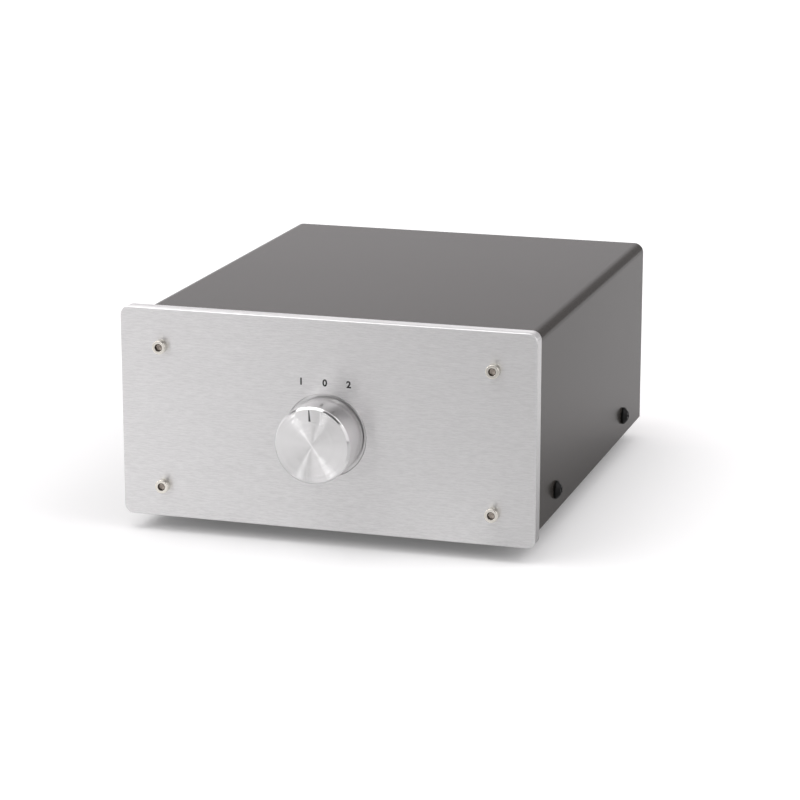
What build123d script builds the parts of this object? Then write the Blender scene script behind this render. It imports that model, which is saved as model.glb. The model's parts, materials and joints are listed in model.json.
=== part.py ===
from build123d import *
import os
from math import atan2, cos, degrees, radians, sin, tan

# Speaker selector switch: a steel case behind a thick aluminium front panel, with a three-position
# rotary switch (1 - 0 - 2) and twelve binding posts on the back.
# Millimetres. +Z is up, the front faces -Y, and the origin is on the ground under the middle of
# the whole object. Along Y most places are depths: distances behind the front panel's face.

# ---------------------------------------------------------------- front panel
PANEL_W = 170.0
PANEL_H = 85.0
PANEL_T = 6.0
PANEL_CORNER = 3.5
PANEL_EDGE = 0.25
PANEL_SIDE_LAP = 3.25
PANEL_TOP_LAP = 3.5
PANEL_BOTTOM_LAP = 2.1
RECESS_R = 16.6
RECESS_DEPTH = 1.2
RECESS_EDGE = 0.25

# ---------------------------------------------------------------- case
CASE_D = 195.0
COVER_T = 1.0
COVER_BEND = 4.0
COVER_FRONT_GAP = 0.3
PAN_T = 1.2
PAN_BEND = 2.4
PAN_FLANGE = 20.0
PAN_RELIEF = 1.0
PAN_TOP_GAP = 0.5
REAR_INSET = 1.5

# ---------------------------------------------------------------- feet
FOOT_H = 8.5
FOOT_TOP_R = 8.0
FOOT_BOTTOM_R = 7.0
FOOT_SIDE_OFFSET = 22.0
FOOT_END_OFFSET = 26.0
FOOT_SEAT = 4.0

# ---------------------------------------------------------------- fasteners
SCREW_SLACK = 0.1
THREAD_SLACK = 0.05
M3_R = 1.5
M3_NUT_AF = 5.5
M3_NUT_H = 2.4
M3_WASHER_R = 3.2
M3_WASHER_T = 0.5
M3_PAN_HEAD_R = 2.8
M3_PAN_HEAD_H = 2.0
SOCKET_HEAD_R = 2.75
SOCKET_HEAD_H = 3.0
SOCKET_AF = 2.5
SOCKET_DEPTH = 1.6
SOCKET_EDGE = 0.35
SOCKET_MOUTH_R = 1.6
SOCKET_MOUTH_DEPTH = 0.35
PANEL_SCREW_W = 136.0
PANEL_SCREW_H = 57.0
PANEL_SCREW_DROP = 1.2
PANEL_SCREW_LENGTH = 12.0
COVER_SCREW_R = 1.75
COVER_SCREW_LENGTH = 8.0
COVER_SCREW_HEAD_R = 3.7
COVER_SCREW_HEAD_H = 2.5
COVER_SCREW_DOME = 2.0
COVER_SCREW_FRONT_OFFSET = 38.5
COVER_SCREW_REAR_OFFSET = 35.5
COVER_SCREW_RISE = 9.3
CROSS_SPAN = 4.0
CROSS_SLOT = 0.9
CROSS_DEPTH = 1.4
FOOT_SCREW_LENGTH = 9.5

# ---------------------------------------------------------------- knob
KNOB_R = 15.4
KNOB_REACH = 16.5
KNOB_DROP = 3.8
KNOB_RIM = 0.9
KNOB_BACK_EDGE = 0.3
KNOB_PANEL_GAP = 0.6
KNOB_FACE_T = 2.2
KNOB_HOLLOW_R = 9.2
KNOB_HOLLOW_FRONT = 4.2
INDEX_W = 0.7
INDEX_LENGTH = 4.7
INDEX_DEPTH = 0.35
INDEX_ANGLE = 94.0
GRUB_LENGTH = 8.0
GRUB_AF = 1.5
GRUB_SOCKET_DEPTH = 1.5

# ---------------------------------------------------------------- rotary switch
SHAFT_R = 3.0
SHAFT_FLAT = 2.5
SHAFT_BLADE_T = 3.2
SHAFT_SLACK = 0.05
SHAFT_EDGE = 0.2
BUSHING_R = 5.0
BUSHING_FRONT = 2.8
BUSHING_EDGE = 0.25
BUSHING_NUT_AF = 14.0
BUSHING_NUT_T = 2.2
LOCK_WASHER_R = 8.2
LOCK_WASHER_T = 0.6
LOCK_WASHER_TEETH = 10
LOCK_WASHER_NOTCH_W = 0.6
LOCK_WASHER_NOTCH_L = 1.2
CLIP_GAP = 0.2
CLIP_T = 0.6
CLIP_R = 4.4
CLIP_MOUTH = 4.4
CLIP_REACH = 7.6
HOUSING_R = 17.0
HOUSING_FRONT_T = 2.5
HOUSING_L = 11.0
STAR_CAVITY_R = 8.6
STAR_CAVITY_L = 5.0
STOP_CAVITY_R = 12.0
LOCATING_PEG_R = 1.4
LOCATING_PEG_L = 1.0
LOCATING_PEG_OFFSET = 12.5
REAR_PLATE_T = 1.2
STAR_R = 8.0
STAR_SCALLOP_R = 2.3
STAR_SCALLOP_CENTRE_R = 9.75
STAR_STEPS = 12
STAR_T = 4.4
STAR_HUB_R = 6.6
STAR_END_GAP = 0.3
STOP_ARM_R = 11.4
STOP_ARM_ROOT_R = 3.6
STOP_ARM_ANGLE = 270.0
STOP_ARM_HALF_ANGLE = 12.0
STOP_LUG_HALF_ANGLE = 8.0
STOP_LUG_IN = 8.8
STOP_SLACK_ANGLE = 2.0
TURN_ANGLE_EACH_WAY = 30.0
BALL_R = 2.0
BALL_SLACK = 0.15
BALL_STAR_GAP = 0.3
BALL_BORE_END = 16.2
SPRING_WIRE_R = 0.25
SPRING_R = 1.4
SPRING_PITCH = 0.95
SPRING_END_GAP = 0.1
SWITCH_TIE_OFFSET = 14.3
SWITCH_TIE_TIP_GAP = 0.2
WAFER_DEPTH = 28.0
WAFER_PITCH = 12.0
WAFER_R = 19.0
WAFER_T = 1.6
ROTOR_R = 9.0
ROTOR_GAP = 0.3
BLADE_T = 0.4
BLADE_TRACK_IN = 4.6
BLADE_TRACK_OUT = 6.4
BLADE_TIP_R = 8.7
BLADE_TIP_HALF_ANGLE = 6.0
BLADE_TRACK_START_ANGLE = 50.0
BLADE_TRACK_END_ANGLE = 178.0
TERMINAL_T = 0.5
TERMINAL_W = 2.4
TERMINAL_R = 24.0
TERMINAL_STEP_OUT = 11.2
TERMINAL_STEP_IN = 10.2
TERMINAL_LIFT = 0.7
THROW_TIP_R = 7.0
COMMON_TIP_R = 5.2
COMMON_ANGLE = 150.0
THROW_ANGLES = (120.0, 90.0, 60.0)
WAFER_TWIST_ANGLE = 15.0
SPACER_R = 2.6
SHAFT_TAIL = 1.5

# ---------------------------------------------------------------- binding posts
POST_GROUP_PITCH = 50.0
POST_PITCH = 19.0
POST_ROW_PITCH = 24.0
COLLAR_R = 6.5
COLLAR_T = 3.5
COLLAR_SPIGOT_R = 4.4
COLLAR_EDGE = 0.5
COLLAR_SLACK = 0.1
BUSH_R = 6.0
BUSH_T = 1.5
STUD_SHANK_R = 2.0
STUD_TAIL = 10.0
STUD_SHOULDER_R = 5.2
STUD_SHOULDER_T = 1.5
STUD_R = 3.0
STUD_END_EDGE = 0.3
WIRE_HOLE_R = 1.1
WIRE_HOLE_OFFSET = 2.2
SOCKET_BORE_R = 2.05
SOCKET_BORE_L = 13.5
POST_NUT_AF = 7.0
POST_NUT_T = 3.2
POST_END_NUT_T = 2.2
LUG_R = 4.0
LUG_T = 0.6
LUG_W = 3.2
LUG_REACH = 9.0
RING_GAP = 0.3
RING_R = 5.2
RING_T = 1.2
RING_STEM_R = 3.95
RING_STEM_L = 2.5
RING_LIP_R = 4.4
RING_LIP_T = 0.9
CAP_SLACK = 0.08
CAP_GAP = 0.3
CAP_R = 6.0
CAP_L = 16.2
CAP_FLUTES = 16
CAP_FLUTE_R = 0.85
CAP_FLUTE_CENTRE_R = 6.35
CAP_END_EDGE = 0.8
CAP_MOUTH_EDGE = 0.4
CAP_END_BACK = 0.3

# ---------------------------------------------------------------- inner wiring
WIRE_R = 1.1
WIRE_TAG_R = 21.5
WIRE_LUG_OFFSET = 7.2
LANE_PITCH_X = 3.6
LANE_PITCH_Z = 3.6
SWITCH_TAIL_L = 14.0
LANES_START = 70.0
LANES_END = 130.0
LUG_TAIL_L = 14.0
CABLE_TIE_SLACK = 0.2
CABLE_TIE_T = 1.2
CABLE_TIE_W = 3.6
CABLE_TIE_HEAD = 5.0
CABLE_TIE_DEPTHS = (84.0, 98.0)
MIDDLE_LANE = 2.5
BEND_SHARE = 0.45

# ---------------------------------------------------------------- places worked out from the sizes
CASE_W = PANEL_W - 2 * PANEL_SIDE_LAP
UNDERSIDE_Z = FOOT_H
PANEL_BOTTOM_Z = UNDERSIDE_Z - PANEL_BOTTOM_LAP
PANEL_MID_Z = PANEL_BOTTOM_Z + PANEL_H / 2
COVER_TOP_Z = PANEL_BOTTOM_Z + PANEL_H - PANEL_TOP_LAP
SWITCH_Z = PANEL_MID_Z - KNOB_DROP
CASE_MID_Z = (UNDERSIDE_Z + COVER_TOP_Z) / 2
PAN_W = CASE_W - 2 * COVER_T
PAN_TOP_Z = COVER_TOP_Z - COVER_T - PAN_TOP_GAP

CASE_END = PANEL_T + CASE_D
REAR_FACE = CASE_END - REAR_INSET
REAR_INNER = REAR_FACE - PAN_T
WALL_BACK = PANEL_T + PAN_T

SHOULDER_AT = REAR_FACE + COLLAR_T
STUD_BASE = SHOULDER_AT + STUD_SHOULDER_T
RING_AT = STUD_BASE + RING_GAP
CAP_AT = RING_AT + RING_T + CAP_GAP
CAP_END = CAP_AT + CAP_L
STUD_END = CAP_END + CAP_END_BACK
OVERALL_D = KNOB_REACH + STUD_END
FRONT_Y = KNOB_REACH - OVERALL_D / 2

HOUSING_END = WALL_BACK + HOUSING_L
STAR_FRONT = WALL_BACK + HOUSING_FRONT_T + STAR_END_GAP
STOP_CAVITY_AT = WALL_BACK + HOUSING_FRONT_T + STAR_CAVITY_L
STAR_END = HOUSING_END - STAR_END_GAP
BALL_DEPTH = STAR_FRONT + STAR_T / 2
BALL_CENTRE_R = STAR_R + BALL_STAR_GAP + BALL_R
REAR_PLATE_END = HOUSING_END + REAR_PLATE_T
WAFERS = ((WAFER_DEPTH, 0.0), (WAFER_DEPTH + WAFER_PITCH, WAFER_TWIST_ANGLE))
LAST_WAFER_END = WAFER_DEPTH + WAFER_PITCH + WAFER_T
SHAFT_END = LAST_WAFER_END + SHAFT_TAIL
SHAFT_TIP = -(KNOB_REACH - KNOB_FACE_T - SHAFT_SLACK)
KNOB_BACK = RECESS_DEPTH - KNOB_PANEL_GAP
GRUB_DEPTH = (SHAFT_TIP - KNOB_HOLLOW_FRONT) / 2

NUT_AT = REAR_INNER - BUSH_T
LUG_AT = NUT_AT - POST_NUT_T
END_NUT_AT = LUG_AT - LUG_T

PANEL_SCREW_MID = (0, PANEL_MID_Z - PANEL_SCREW_DROP)
FOOT_SPOTS = [
    (side * (CASE_W / 2 - FOOT_SIDE_OFFSET), FRONT_Y + depth)
    for side in (-1, 1)
    for depth in (PANEL_T + FOOT_END_OFFSET, CASE_END - FOOT_END_OFFSET)
]
COVER_SCREW_DEPTHS = (PANEL_T + COVER_SCREW_FRONT_OFFSET, CASE_END - COVER_SCREW_REAR_OFFSET)
COVER_SCREW_Z = UNDERSIDE_Z + COVER_SCREW_RISE

# Every binding post: its name, its X, its row (+1 the upper, red; -1 the lower, black), the wafer
# it is wired to, and the angle of its terminal there.
POSTS = []
for group, (use, terminal) in enumerate(
    (("speaker", COMMON_ANGLE), ("amp_1", THROW_ANGLES[0]), ("amp_2", THROW_ANGLES[2]))
):
    for wafer, channel in enumerate(("left", "right")):
        for row, sign in ((1, "plus"), (-1, "minus")):
            POSTS.append(
                {
                    "name": f"{use}_{channel}_{sign}",
                    "x": (group - 1) * POST_GROUP_PITCH + (wafer - 0.5) * POST_PITCH,
                    "z": CASE_MID_Z + row * POST_ROW_PITCH / 2,
                    "row": row,
                    "column": 2 * group + wafer,
                    "wafer": wafer,
                    "angle": row * (terminal - wafer * WAFER_TWIST_ANGLE),
                }
            )
ALL_POSTS = [(post["x"], post["z"]) for post in POSTS]
RED_POSTS = [(post["x"], post["z"]) for post in POSTS if post["row"] > 0]
BLACK_POSTS = [(post["x"], post["z"]) for post in POSTS if post["row"] < 0]


# ---------------------------------------------------------------- drawing helpers
def facing(depth):
    """A sketch plane seen from the front: its X is +X, its Y is +Z, and extrusions come forward."""
    return Plane(origin=(0, FRONT_Y + depth, 0), x_dir=(1, 0, 0), z_dir=(0, -1, 0))


def from_side(side, x):
    """A sketch plane seen from the side, at this X: its Y is +Z, and extrusions come outward."""
    return Plane(origin=(x, 0, 0), x_dir=(0, side, 0), z_dir=(side, 0, 0))


def on_axis(depth):
    """As facing, but centred on the switch's axis."""
    return Plane(origin=(0, FRONT_Y + depth, SWITCH_Z), x_dir=(1, 0, 0), z_dir=(0, -1, 0))


def polar(radius, angle):
    """A point at this radius and angle, in degrees anticlockwise from +X seen from the front."""
    return (radius * cos(radians(angle)), radius * sin(radians(angle)))


def discs(plane, spots, radius, length, mode=Mode.ADD):
    """Round bars or holes of one size at several places of a sketch."""
    with BuildSketch(plane) as outline:
        with Locations(*spots):
            Circle(radius)
    extrude(outline.sketch, amount=length, mode=mode)


def hexagons(plane, spots, across_flats, length, mode=Mode.ADD):
    """Hexagonal bars or sockets of one size at several places of a sketch."""
    with BuildSketch(plane) as outline:
        with Locations(*spots):
            RegularPolygon(across_flats / 2, 6, major_radius=False)
    extrude(outline.sketch, amount=length, mode=mode)


def ring_piece(plane, inner, outer, start, end, length, mode=Mode.ADD):
    """A stretch of a flat ring between two angles."""
    with BuildSketch(plane) as outline:
        with BuildLine():
            CenterArc((0, 0), outer, start, end - start)
            CenterArc((0, 0), inner, start, end - start)
            Line(polar(inner, start), polar(outer, start))
            Line(polar(inner, end), polar(outer, end))
        make_face()
    extrude(outline.sketch, amount=length, mode=mode)


def folded_sheet(plane, corners, bend, thickness, width):
    """A folded strip of sheet: its outer outline, the outer bend radius, and its width."""
    with BuildSketch(plane) as outline:
        with BuildLine():
            FilletPolyline(*corners, radius=bend)
            offset(amount=thickness, side=Side.LEFT)
        make_face()
    extrude(outline.sketch, amount=width / 2, both=True)


def save(name, piece):
    piece.part.label = name
    export_step(piece.part, f"parts/{name}.step")


# ---------------------------------------------------------------- front panel and its screws
def front_panel():
    with BuildPart() as panel:
        with BuildSketch(facing(PANEL_T)):
            with Locations((0, PANEL_MID_Z)):
                RectangleRounded(PANEL_W, PANEL_H, PANEL_CORNER)
        extrude(amount=PANEL_T)
        chamfer(panel.faces().sort_by(Axis.Y)[0].outer_wire().edges(), PANEL_EDGE)
        discs(on_axis(RECESS_DEPTH), [(0, 0)], RECESS_R, RECESS_DEPTH, Mode.SUBTRACT)
        chamfer(panel.faces().sort_by(Axis.Y)[0].inner_wires().edges(), RECESS_EDGE)
        discs(on_axis(PANEL_T), [(0, 0)], BUSHING_R + SCREW_SLACK, PANEL_T, Mode.SUBTRACT)
        with BuildSketch(facing(PANEL_T)):
            with Locations(PANEL_SCREW_MID):
                with GridLocations(PANEL_SCREW_W, PANEL_SCREW_H, 2, 2):
                    Circle(M3_R + SCREW_SLACK)
        extrude(amount=PANEL_T, mode=Mode.SUBTRACT)
    return panel


def panel_screw_spots():
    x, z = PANEL_SCREW_W / 2, PANEL_SCREW_H / 2
    return [
        (i * x + PANEL_SCREW_MID[0], k * z + PANEL_SCREW_MID[1])
        for i in (-1, 1)
        for k in (-1, 1)
    ]


def front_panel_screws():
    with BuildPart() as screws:
        discs(facing(0), panel_screw_spots(), SOCKET_HEAD_R, SOCKET_HEAD_H)
        fillet(screws.faces().group_by(Axis.Y)[0].edges(), SOCKET_EDGE)
        discs(facing(PANEL_SCREW_LENGTH), panel_screw_spots(), M3_R, PANEL_SCREW_LENGTH)
        mouth_floor = facing(-SOCKET_HEAD_H + SOCKET_MOUTH_DEPTH)
        flare = degrees(atan2(SOCKET_MOUTH_R - SOCKET_AF / 2, SOCKET_MOUTH_DEPTH))
        with BuildSketch(mouth_floor) as mouths:
            with Locations(*panel_screw_spots()):
                Circle(SOCKET_AF / 2)
        extrude(mouths.sketch, amount=SOCKET_MOUTH_DEPTH, taper=-flare, mode=Mode.SUBTRACT)
        socket_floor = facing(-SOCKET_HEAD_H + SOCKET_DEPTH)
        hexagons(socket_floor, panel_screw_spots(), SOCKET_AF, SOCKET_DEPTH, Mode.SUBTRACT)
    return screws


def front_panel_washers():
    with BuildPart() as washers:
        plane = facing(WALL_BACK + M3_WASHER_T)
        discs(plane, panel_screw_spots(), M3_WASHER_R, M3_WASHER_T)
        discs(plane, panel_screw_spots(), M3_R + SCREW_SLACK, M3_WASHER_T, Mode.SUBTRACT)
    return washers


def front_panel_nuts():
    with BuildPart() as nuts:
        plane = facing(WALL_BACK + M3_WASHER_T + M3_NUT_H)
        hexagons(plane, panel_screw_spots(), M3_NUT_AF, M3_NUT_H)
        discs(plane, panel_screw_spots(), M3_R + THREAD_SLACK, M3_NUT_H, Mode.SUBTRACT)
    return nuts


# ---------------------------------------------------------------- case
def chassis_pan():
    """Floor, front wall and rear wall folded from one sheet, with a flange up each side."""
    front, rear = FRONT_Y + PANEL_T, FRONT_Y + REAR_FACE
    flat_w = PAN_W - 2 * PAN_BEND
    bottom = UNDERSIDE_Z + PAN_BEND
    with BuildPart() as pan:
        side_view = Plane.YZ
        corners = [
            (front, bottom + PAN_RELIEF),
            (front, UNDERSIDE_Z),
            (rear, UNDERSIDE_Z),
            (rear, bottom + PAN_RELIEF),
        ]
        folded_sheet(side_view, corners, PAN_BEND, PAN_T, flat_w)
        for wall_back in (WALL_BACK, REAR_FACE):
            with BuildSketch(facing(wall_back)) as wall:
                with Locations((0, bottom + PAN_RELIEF)):
                    height = PAN_TOP_Z - bottom - PAN_RELIEF
                    Rectangle(PAN_W, height, align=(Align.CENTER, Align.MIN))
                fillet(wall.vertices().group_by(Axis.Y)[-1], COVER_BEND)
            extrude(amount=PAN_T)
        x, top = PAN_W / 2, UNDERSIDE_Z + PAN_FLANGE
        middle = Plane(origin=(0, (front + rear) / 2, 0), x_dir=(1, 0, 0), z_dir=(0, -1, 0))
        corners = [(-x, top), (-x, UNDERSIDE_Z), (x, UNDERSIDE_Z), (x, top)]
        flange_l = rear - front - 2 * (PAN_BEND + PAN_RELIEF)
        folded_sheet(middle, corners, PAN_BEND, PAN_T, flange_l)

        front_wall = facing(WALL_BACK)
        discs(front_wall, panel_screw_spots(), M3_R + SCREW_SLACK, PAN_T, Mode.SUBTRACT)
        discs(on_axis(WALL_BACK), [(0, 0)], BUSHING_R + SCREW_SLACK, PAN_T, Mode.SUBTRACT)
        peg = [(0, -LOCATING_PEG_OFFSET)]
        discs(on_axis(WALL_BACK), peg, LOCATING_PEG_R + SCREW_SLACK, PAN_T, Mode.SUBTRACT)
        hole_r = COLLAR_SPIGOT_R + COLLAR_SLACK
        discs(facing(REAR_FACE), ALL_POSTS, hole_r, PAN_T, Mode.SUBTRACT)
        floor = Plane.XY.offset(UNDERSIDE_Z)
        discs(floor, FOOT_SPOTS, M3_R + SCREW_SLACK, PAN_T, Mode.SUBTRACT)
        for side in (-1, 1):
            flange = from_side(side, side * (PAN_W / 2 - PAN_T))
            hole_r = COVER_SCREW_R + THREAD_SLACK
            discs(flange, cover_screw_spots(side), hole_r, PAN_T, Mode.SUBTRACT)
    return pan


def cover_screw_spots(side):
    return [(side * (FRONT_Y + depth), COVER_SCREW_Z) for depth in COVER_SCREW_DEPTHS]


def top_cover():
    """Top and both sides, folded from one sheet and slid over the pan."""
    x = CASE_W / 2
    front, rear = FRONT_Y + PANEL_T + COVER_FRONT_GAP, FRONT_Y + CASE_END
    with BuildPart() as cover:
        middle = Plane(origin=(0, (front + rear) / 2, 0), x_dir=(1, 0, 0), z_dir=(0, -1, 0))
        corners = [(x, UNDERSIDE_Z), (x, COVER_TOP_Z), (-x, COVER_TOP_Z), (-x, UNDERSIDE_Z)]
        folded_sheet(middle, corners, COVER_BEND, COVER_T, rear - front)
        for side in (-1, 1):
            wall = from_side(side, side * (CASE_W / 2 - COVER_T))
            hole_r = COVER_SCREW_R + SCREW_SLACK
            discs(wall, cover_screw_spots(side), hole_r, COVER_T, Mode.SUBTRACT)
    return cover


def cover_screws():
    with BuildPart() as screws:
        for side in (-1, 1):
            spots = cover_screw_spots(side)
            seat = from_side(side, side * CASE_W / 2)
            discs(seat, spots, COVER_SCREW_HEAD_R, COVER_SCREW_HEAD_H)
            crowns = screws.faces().sort_by(Axis.X, reverse=side > 0)[:len(spots)]
            fillet(crowns.edges(), COVER_SCREW_DOME)
            tip = from_side(side, side * (CASE_W / 2 - COVER_SCREW_LENGTH))
            discs(tip, spots, COVER_SCREW_R, COVER_SCREW_LENGTH)
            top = from_side(side, side * (CASE_W / 2 + COVER_SCREW_HEAD_H - CROSS_DEPTH))
            with BuildSketch(top):
                with Locations(*spots):
                    Rectangle(CROSS_SPAN, CROSS_SLOT)
                    Rectangle(CROSS_SLOT, CROSS_SPAN)
            extrude(amount=CROSS_DEPTH, mode=Mode.SUBTRACT)
    return screws


# ---------------------------------------------------------------- feet
def rubber_feet():
    with BuildPart() as feet:
        for spot in FOOT_SPOTS:
            with BuildSketch(Plane.XY):
                with Locations(spot):
                    Circle(FOOT_BOTTOM_R)
            with BuildSketch(Plane.XY.offset(UNDERSIDE_Z)):
                with Locations(spot):
                    Circle(FOOT_TOP_R)
            loft()
        pocket_r = M3_PAN_HEAD_R + 2 * SCREW_SLACK
        discs(Plane.XY, FOOT_SPOTS, pocket_r, FOOT_SEAT, Mode.SUBTRACT)
        discs(Plane.XY, FOOT_SPOTS, M3_R + SCREW_SLACK, UNDERSIDE_Z, Mode.SUBTRACT)
    return feet


def foot_screws():
    with BuildPart() as screws:
        head = Plane.XY.offset(FOOT_SEAT - M3_PAN_HEAD_H)
        discs(head, FOOT_SPOTS, M3_PAN_HEAD_R, M3_PAN_HEAD_H)
        discs(Plane.XY.offset(FOOT_SEAT), FOOT_SPOTS, M3_R, FOOT_SCREW_LENGTH)
        with BuildSketch(head):
            with Locations(*FOOT_SPOTS):
                Rectangle(CROSS_SPAN, CROSS_SLOT)
                Rectangle(CROSS_SLOT, CROSS_SPAN)
        extrude(amount=CROSS_DEPTH, mode=Mode.SUBTRACT)
    return screws


def foot_nuts():
    with BuildPart() as nuts:
        floor = Plane.XY.offset(UNDERSIDE_Z + PAN_T)
        hexagons(floor, FOOT_SPOTS, M3_NUT_AF, M3_NUT_H)
        discs(floor, FOOT_SPOTS, M3_R + THREAD_SLACK, M3_NUT_H, Mode.SUBTRACT)
    return nuts


# ---------------------------------------------------------------- knob
def control_knob():
    with BuildPart() as knob:
        discs(on_axis(KNOB_BACK), [(0, 0)], KNOB_R, KNOB_BACK + KNOB_REACH)
        chamfer(knob.faces().sort_by(Axis.Y)[0].edges(), KNOB_RIM)
        chamfer(knob.faces().sort_by(Axis.Y)[-1].edges(), KNOB_BACK_EDGE)
        hollow_l = KNOB_BACK + KNOB_HOLLOW_FRONT
        discs(on_axis(KNOB_BACK), [(0, 0)], KNOB_HOLLOW_R, hollow_l, Mode.SUBTRACT)
        bore_l = KNOB_BACK + KNOB_REACH - KNOB_FACE_T
        discs(on_axis(KNOB_BACK), [(0, 0)], SHAFT_R + SHAFT_SLACK, bore_l, Mode.SUBTRACT)
        underside = Plane.XY.offset(SWITCH_Z - KNOB_R)
        grub_spot = [(0, FRONT_Y + GRUB_DEPTH)]
        discs(underside, grub_spot, M3_R + THREAD_SLACK, KNOB_R - SHAFT_FLAT, Mode.SUBTRACT)
        with BuildSketch(on_axis(INDEX_DEPTH - KNOB_REACH)):
            with PolarLocations(KNOB_R - KNOB_RIM, 1, INDEX_ANGLE):
                Rectangle(INDEX_LENGTH, INDEX_W, align=(Align.MAX, Align.CENTER))
        extrude(amount=INDEX_DEPTH, mode=Mode.SUBTRACT)
    return knob


def knob_grub_screw():
    outer_end = Plane.XY.offset(SWITCH_Z - SHAFT_FLAT - GRUB_LENGTH)
    spot = [(0, FRONT_Y + GRUB_DEPTH)]
    with BuildPart() as grub:
        discs(outer_end, spot, M3_R, GRUB_LENGTH)
        hexagons(outer_end, spot, GRUB_AF, GRUB_SOCKET_DEPTH, Mode.SUBTRACT)
    return grub


# ---------------------------------------------------------------- rotary switch: what turns
def switch_shaft():
    """A round front with a flat for the grub screw, and a flat blade through the wafers."""
    with BuildPart() as shaft:
        discs(on_axis(SHAFT_END), [(0, 0)], SHAFT_R, SHAFT_END - SHAFT_TIP)
        chamfer(shaft.faces().sort_by(Axis.Y)[0].edges(), SHAFT_EDGE)
        with BuildSketch(on_axis(-KNOB_HOLLOW_FRONT)):
            with Locations((0, -SHAFT_FLAT)):
                Rectangle(2 * SHAFT_R, SHAFT_R, align=(Align.CENTER, Align.MAX))
        extrude(amount=-KNOB_HOLLOW_FRONT - SHAFT_TIP, mode=Mode.SUBTRACT)
        with BuildSketch(on_axis(SHAFT_END)):
            for side in (-1, 1):
                with Locations((0, side * (SHAFT_BLADE_T + SHAFT_R) / 2)):
                    Rectangle(2 * SHAFT_R, SHAFT_R)
        extrude(amount=SHAFT_END - REAR_PLATE_END - CLIP_GAP, mode=Mode.SUBTRACT)
        groove = on_axis(-BUSHING_FRONT - CLIP_GAP)
        with BuildSketch(groove):
            Circle(SHAFT_R + SHAFT_SLACK)
            Circle(SHAFT_FLAT, mode=Mode.SUBTRACT)
        extrude(amount=CLIP_T, mode=Mode.SUBTRACT)
    return shaft


def shaft_retaining_clip():
    with BuildPart() as clip:
        with BuildSketch(on_axis(-BUSHING_FRONT - CLIP_GAP)):
            Circle(CLIP_R)
            Circle(SHAFT_FLAT + THREAD_SLACK, mode=Mode.SUBTRACT)
            with Locations((CLIP_R, 0)):
                Rectangle(CLIP_REACH, CLIP_MOUTH, mode=Mode.SUBTRACT)
        extrude(amount=CLIP_T)
    return clip


def star_wheel():
    """Detent star with twelve shallow hollows, and behind it the arm that meets the stops."""
    with BuildPart() as star:
        with BuildSketch(on_axis(STAR_FRONT + STAR_T)):
            Circle(STAR_R)
            with PolarLocations(STAR_SCALLOP_CENTRE_R, STAR_STEPS):
                Circle(STAR_SCALLOP_R, mode=Mode.SUBTRACT)
        extrude(amount=STAR_T)
        discs(on_axis(STAR_END), [(0, 0)], STAR_HUB_R, STAR_END - STAR_FRONT)
        arm_l = STAR_END - STOP_CAVITY_AT - STAR_END_GAP
        low, high = STOP_ARM_ANGLE - STOP_ARM_HALF_ANGLE, STOP_ARM_ANGLE + STOP_ARM_HALF_ANGLE
        ring_piece(on_axis(STAR_END), STOP_ARM_ROOT_R, STOP_ARM_R, low, high, arm_l)
        bore_l = STAR_END - STAR_FRONT
        discs(on_axis(STAR_END), [(0, 0)], SHAFT_R + SHAFT_SLACK, bore_l, Mode.SUBTRACT)
    return star


def wafer_rotors():
    with BuildPart() as rotors:
        for depth, _ in WAFERS:
            with BuildSketch(on_axis(depth + WAFER_T)):
                Circle(ROTOR_R)
                with BuildSketch(mode=Mode.PRIVATE) as slot:
                    Circle(SHAFT_R + SHAFT_SLACK)
                    Rectangle(3 * SHAFT_R, SHAFT_BLADE_T + 2 * SHAFT_SLACK, mode=Mode.INTERSECT)
                add(slot.sketch, mode=Mode.SUBTRACT)
            extrude(amount=WAFER_T)
    return rotors


def rotor_blades():
    """Two wipers on each rotor: a track for the common and a tip for the chosen contact."""
    with BuildPart() as blades:
        for depth, twist in WAFERS:
            face = on_axis(depth + WAFER_T + BLADE_T)
            tip = THROW_ANGLES[1] - twist
            for row in (-1, 1):
                track = sorted((row * BLADE_TRACK_START_ANGLE, row * BLADE_TRACK_END_ANGLE))
                ring_piece(face, BLADE_TRACK_IN, BLADE_TRACK_OUT, *track, BLADE_T)
                finger = (row * tip - BLADE_TIP_HALF_ANGLE, row * tip + BLADE_TIP_HALF_ANGLE)
                ring_piece(face, BLADE_TRACK_IN, BLADE_TIP_R, *finger, BLADE_T)
    return blades


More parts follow.
